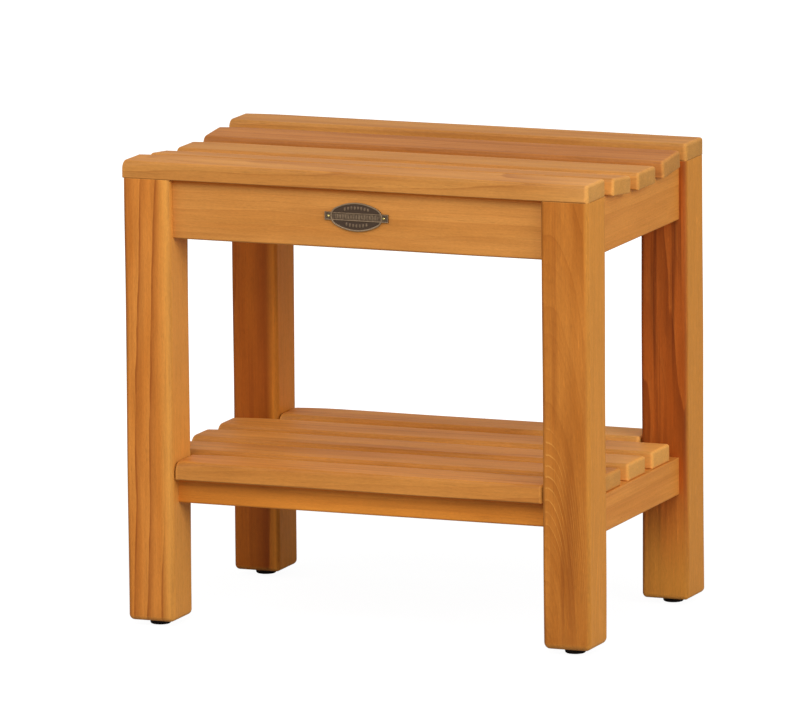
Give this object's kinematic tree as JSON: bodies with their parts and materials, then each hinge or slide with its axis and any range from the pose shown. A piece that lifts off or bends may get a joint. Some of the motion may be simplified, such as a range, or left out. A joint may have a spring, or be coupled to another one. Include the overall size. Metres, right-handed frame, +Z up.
{
  "type": "slatted shower bench with shelf",
  "caption": "Low teak shower bench with a dished slatted seat, a slatted shelf between square legs, deep aprons, a small oval plate on the front and screw glides under the legs.",
  "frame": {"origin": "on the floor, under the middle of the bench", "axes": "+X along the slats, -Y out of the front with the nameplate, +Z up"},
  "size_m": [0.452, 0.2976, 0.429],
  "materials": {
    "teak_leg": "oiled satin",
    "teak_rail": "oiled satin",
    "teak_seat_slat": "oiled satin",
    "teak_shelf_slat": "oiled satin",
    "dowel": "plain",
    "stainless": "satin",
    "stem_steel": "zinc plated",
    "insert_brass": "turned",
    "pin_brass": "polished",
    "plate_metal": "antique dark, rubbed on the raised parts",
    "glide_pad": "matte black"
  },
  "bodies": {
    "bench": {"leg_front_left": "teak_leg", "leg_front_right": "teak_leg", "leg_rear_left": "teak_leg", "leg_rear_right": "teak_leg", "front_apron": "teak_rail", "rear_apron": "teak_rail", "seat_rail_left": "teak_rail", "seat_rail_right": "teak_rail", "shelf_rail_front": "teak_rail", "shelf_rail_rear": "teak_rail", "shelf_rail_left": "teak_rail", "shelf_rail_right": "teak_rail", "seat_slat_front": "teak_seat_slat", "seat_slat_second": "teak_seat_slat", "seat_slat_middle": "teak_seat_slat", "seat_slat_fourth": "teak_seat_slat", "seat_slat_rear": "teak_seat_slat", "shelf_slat_front": "teak_shelf_slat", "shelf_slat_second": "teak_shelf_slat", "shelf_slat_middle": "teak_shelf_slat", "shelf_slat_fourth": "teak_shelf_slat", "shelf_slat_rear": "teak_shelf_slat", "seat_dowels": "dowel", "seat_screws": "stainless", "shelf_screws": "stainless", "glide_inserts": "insert_brass", "nameplate": "plate_metal", "nameplate_pins": "pin_brass"},
    "glide_front_left": {"glide_pad_front_left": "glide_pad", "glide_stem_front_left": "stem_steel"},
    "glide_front_right": {"glide_pad_front_right": "glide_pad", "glide_stem_front_right": "stem_steel"},
    "glide_rear_left": {"glide_pad_rear_left": "glide_pad", "glide_stem_rear_left": "stem_steel"},
    "glide_rear_right": {"glide_pad_rear_right": "glide_pad", "glide_stem_rear_right": "stem_steel"}
  },
  "joints": [
    {"name": "glide_front_left_travel", "type": "slide", "parent": "bench", "child": "glide_front_left", "axis": [0, 0, -1], "range_m": [0, 0.01]},
    {"name": "glide_front_right_travel", "type": "slide", "parent": "bench", "child": "glide_front_right", "axis": [0, 0, -1], "range_m": [0, 0.01]},
    {"name": "glide_rear_left_travel", "type": "slide", "parent": "bench", "child": "glide_rear_left", "axis": [0, 0, -1], "range_m": [0, 0.01]},
    {"name": "glide_rear_right_travel", "type": "slide", "parent": "bench", "child": "glide_rear_right", "axis": [0, 0, -1], "range_m": [0, 0.01]}
  ]
}
